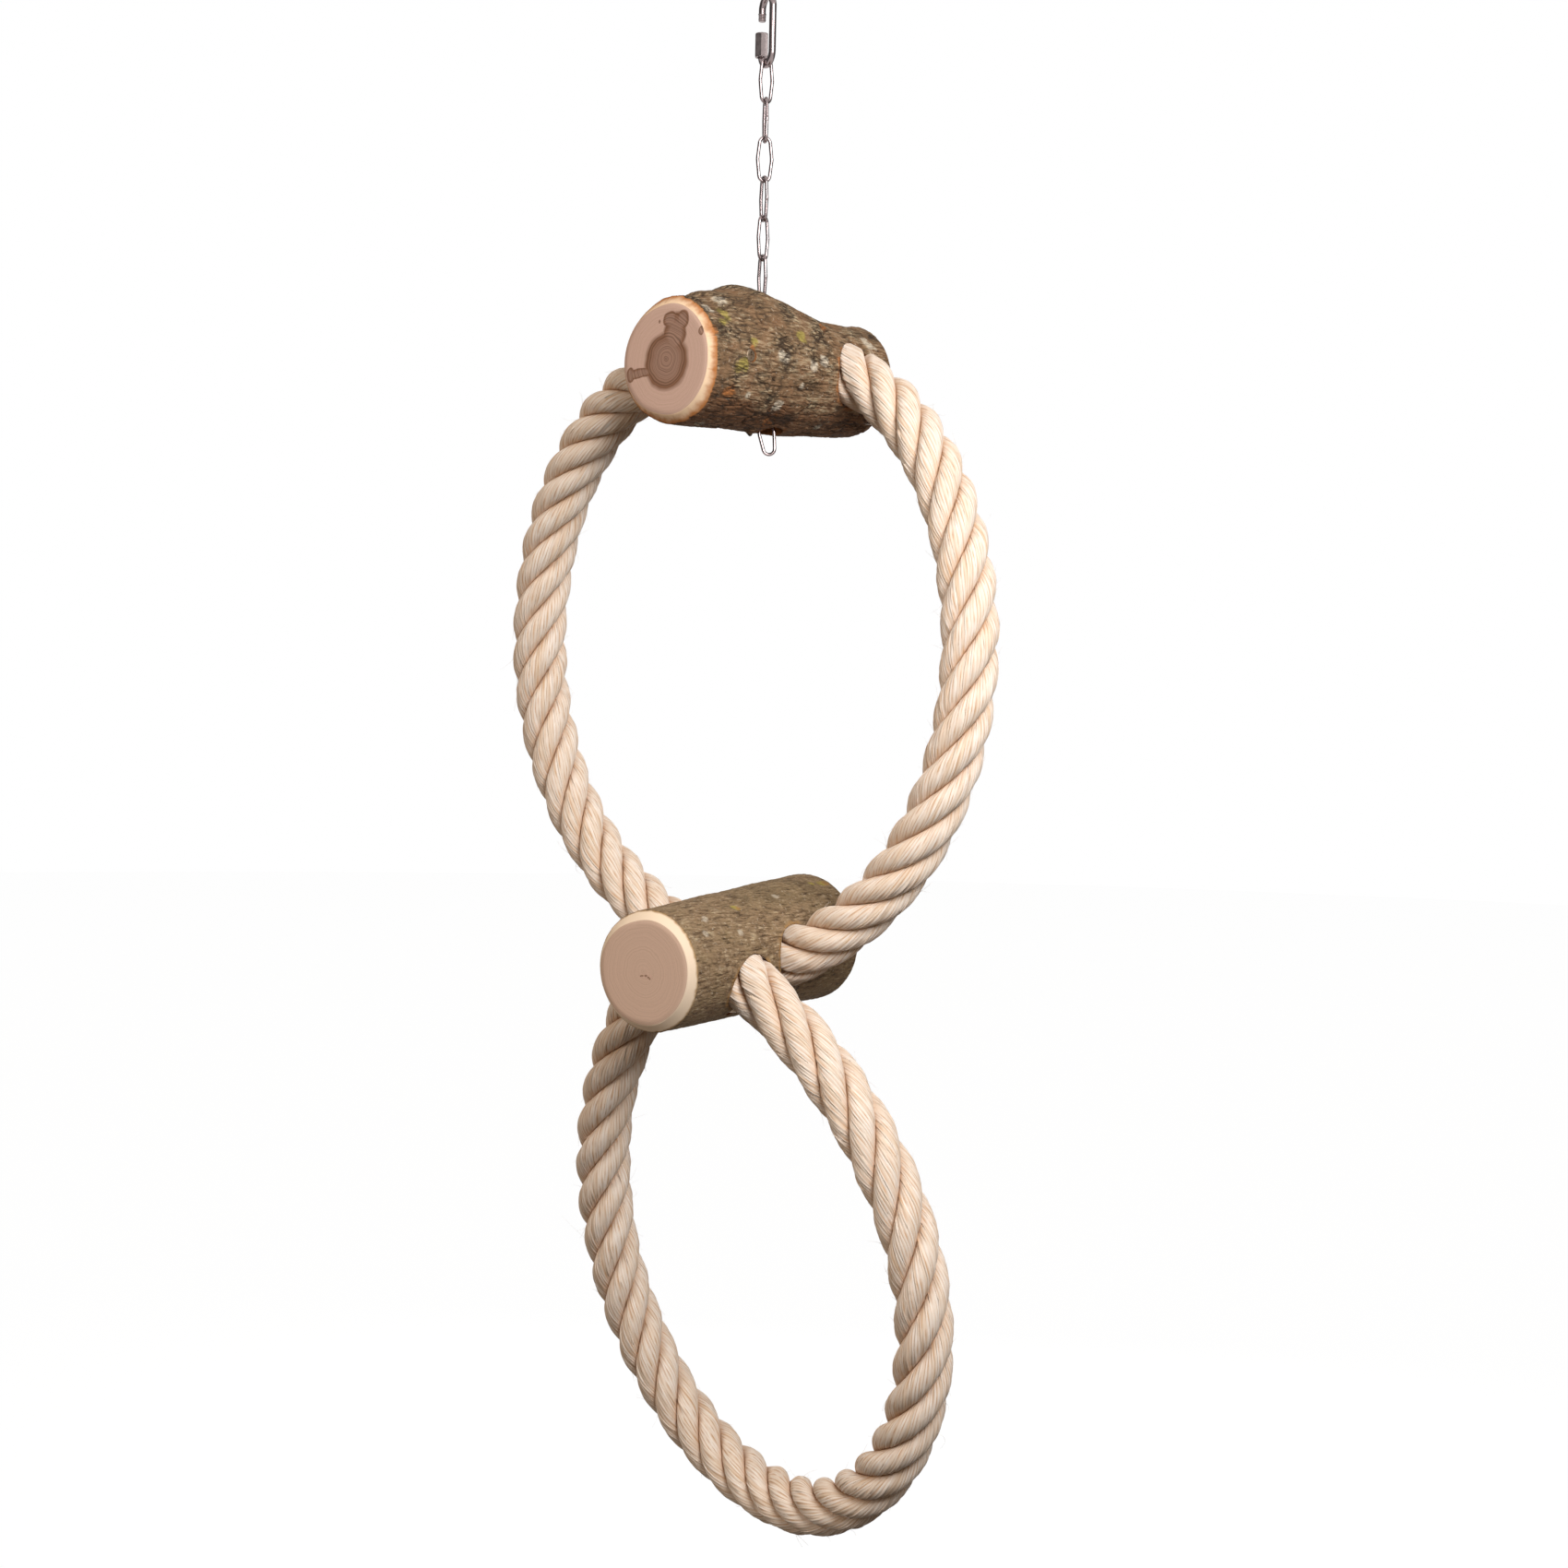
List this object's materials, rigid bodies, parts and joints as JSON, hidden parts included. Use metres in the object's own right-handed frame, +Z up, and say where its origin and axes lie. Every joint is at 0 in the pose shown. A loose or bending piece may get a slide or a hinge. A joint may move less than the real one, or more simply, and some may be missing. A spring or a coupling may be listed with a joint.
{
  "type": "double ring rope perch swing",
  "caption": "Hanging perch swing for birds: bark logs joined by rings of thick twisted rope, on a steel chain and quick link.",
  "frame": {"origin": "hang point: inside of the quick link's top bow", "axes": "+Z up; the upper log lies along Y with its near end at -Y; the rings spread along X"},
  "size_m": [0.3189, 0.1676, 0.8766],
  "materials": {
    "stainless_steel": "polished",
    "zinc_screw": "satin",
    "bark_and_wood": "matte",
    "natural_rope": "matte"
  },
  "bodies": {
    "quick_link": {"quick_link_body": "stainless_steel"},
    "nut": {"quick_link_nut": "stainless_steel"},
    "link_01": {"chain_link_01": "stainless_steel"},
    "link_02": {"chain_link_02": "stainless_steel"},
    "link_03": {"chain_link_03": "stainless_steel"},
    "link_04": {"chain_link_04": "stainless_steel"},
    "link_05": {"chain_link_05": "stainless_steel"},
    "link_06": {"chain_link_06": "stainless_steel"},
    "link_07": {"chain_link_07": "stainless_steel"},
    "link_08": {"chain_link_08": "stainless_steel"},
    "link_09": {"chain_link_09": "stainless_steel"},
    "link_10": {"chain_link_10": "stainless_steel"},
    "swing": {"upper_log": "bark_and_wood", "lower_log": "bark_and_wood", "upper_rope_right": "natural_rope", "upper_rope_left": "natural_rope", "lower_ring_rope": "natural_rope", "chain_pin": "zinc_screw", "rope_screw_upper_left": "zinc_screw", "rope_screw_upper_right": "zinc_screw", "rope_screw_lower_upper_ring_right": "zinc_screw", "rope_screw_lower_upper_ring_left": "zinc_screw", "rope_screw_lower_lower_ring_right": "zinc_screw", "rope_screw_lower_lower_ring_left": "zinc_screw"}
  },
  "joints": [
    {"name": "nut_screw", "type": "slide", "parent": "quick_link", "child": "nut", "axis": [0, 0, 1], "range_m": [0, 0.01]},
    {"name": "link_01_hinge", "type": "hinge", "parent": "quick_link", "child": "link_01", "pos_m": [0, 0, -0.036], "axis": [0.9361, -0.3518, 0], "range_deg": [-30, 30]},
    {"name": "link_02_hinge", "type": "hinge", "parent": "link_01", "child": "link_02", "pos_m": [0, 0, -0.057], "axis": [0.1668, 0.986, 0], "range_deg": [-30, 30]},
    {"name": "link_03_hinge", "type": "hinge", "parent": "link_02", "child": "link_03", "pos_m": [0, 0, -0.079], "axis": [-0.8131, 0.5821, 0], "range_deg": [-30, 30]},
    {"name": "link_04_hinge", "type": "hinge", "parent": "link_03", "child": "link_04", "pos_m": [0, 0, -0.101], "axis": [0.4633, 0.8862, 0], "range_deg": [-30, 30]},
    {"name": "link_05_hinge", "type": "hinge", "parent": "link_04", "child": "link_05", "pos_m": [0, 0, -0.123], "axis": [-0.9164, 0.4003, 0], "range_deg": [-30, 30]},
    {"name": "link_06_hinge", "type": "hinge", "parent": "link_05", "child": "link_06", "pos_m": [0, 0, -0.145], "axis": [-0.0767, 0.9971, 0], "range_deg": [-30, 30]},
    {"name": "link_07_hinge", "type": "hinge", "parent": "link_06", "child": "link_07", "pos_m": [0, 0, -0.167], "axis": [-0.9421, 0.3355, 0], "range_deg": [-30, 30]},
    {"name": "link_08_hinge", "type": "hinge", "parent": "link_07", "child": "link_08", "pos_m": [0, 0, -0.189], "axis": [0.7145, 0.6997, 0], "range_deg": [-2.5, 2.5]},
    {"name": "link_09_hinge", "type": "hinge", "parent": "link_08", "child": "link_09", "pos_m": [0, 0, -0.211], "axis": [-0.2656, 0.9641, 0], "range_deg": [-3, 0]},
    {"name": "link_10_hinge", "type": "hinge", "parent": "link_09", "child": "link_10", "pos_m": [0.00289, 0.0008, -0.23279], "axis": [-0.9554, 0.271, -0.1169], "range_deg": [-5, 0]},
    {"name": "swing_hinge", "type": "hinge", "parent": "link_08", "child": "swing", "pos_m": [0, 0, -0.2059], "axis": [1, 0, 0], "range_deg": [-1, 1]}
  ]
}
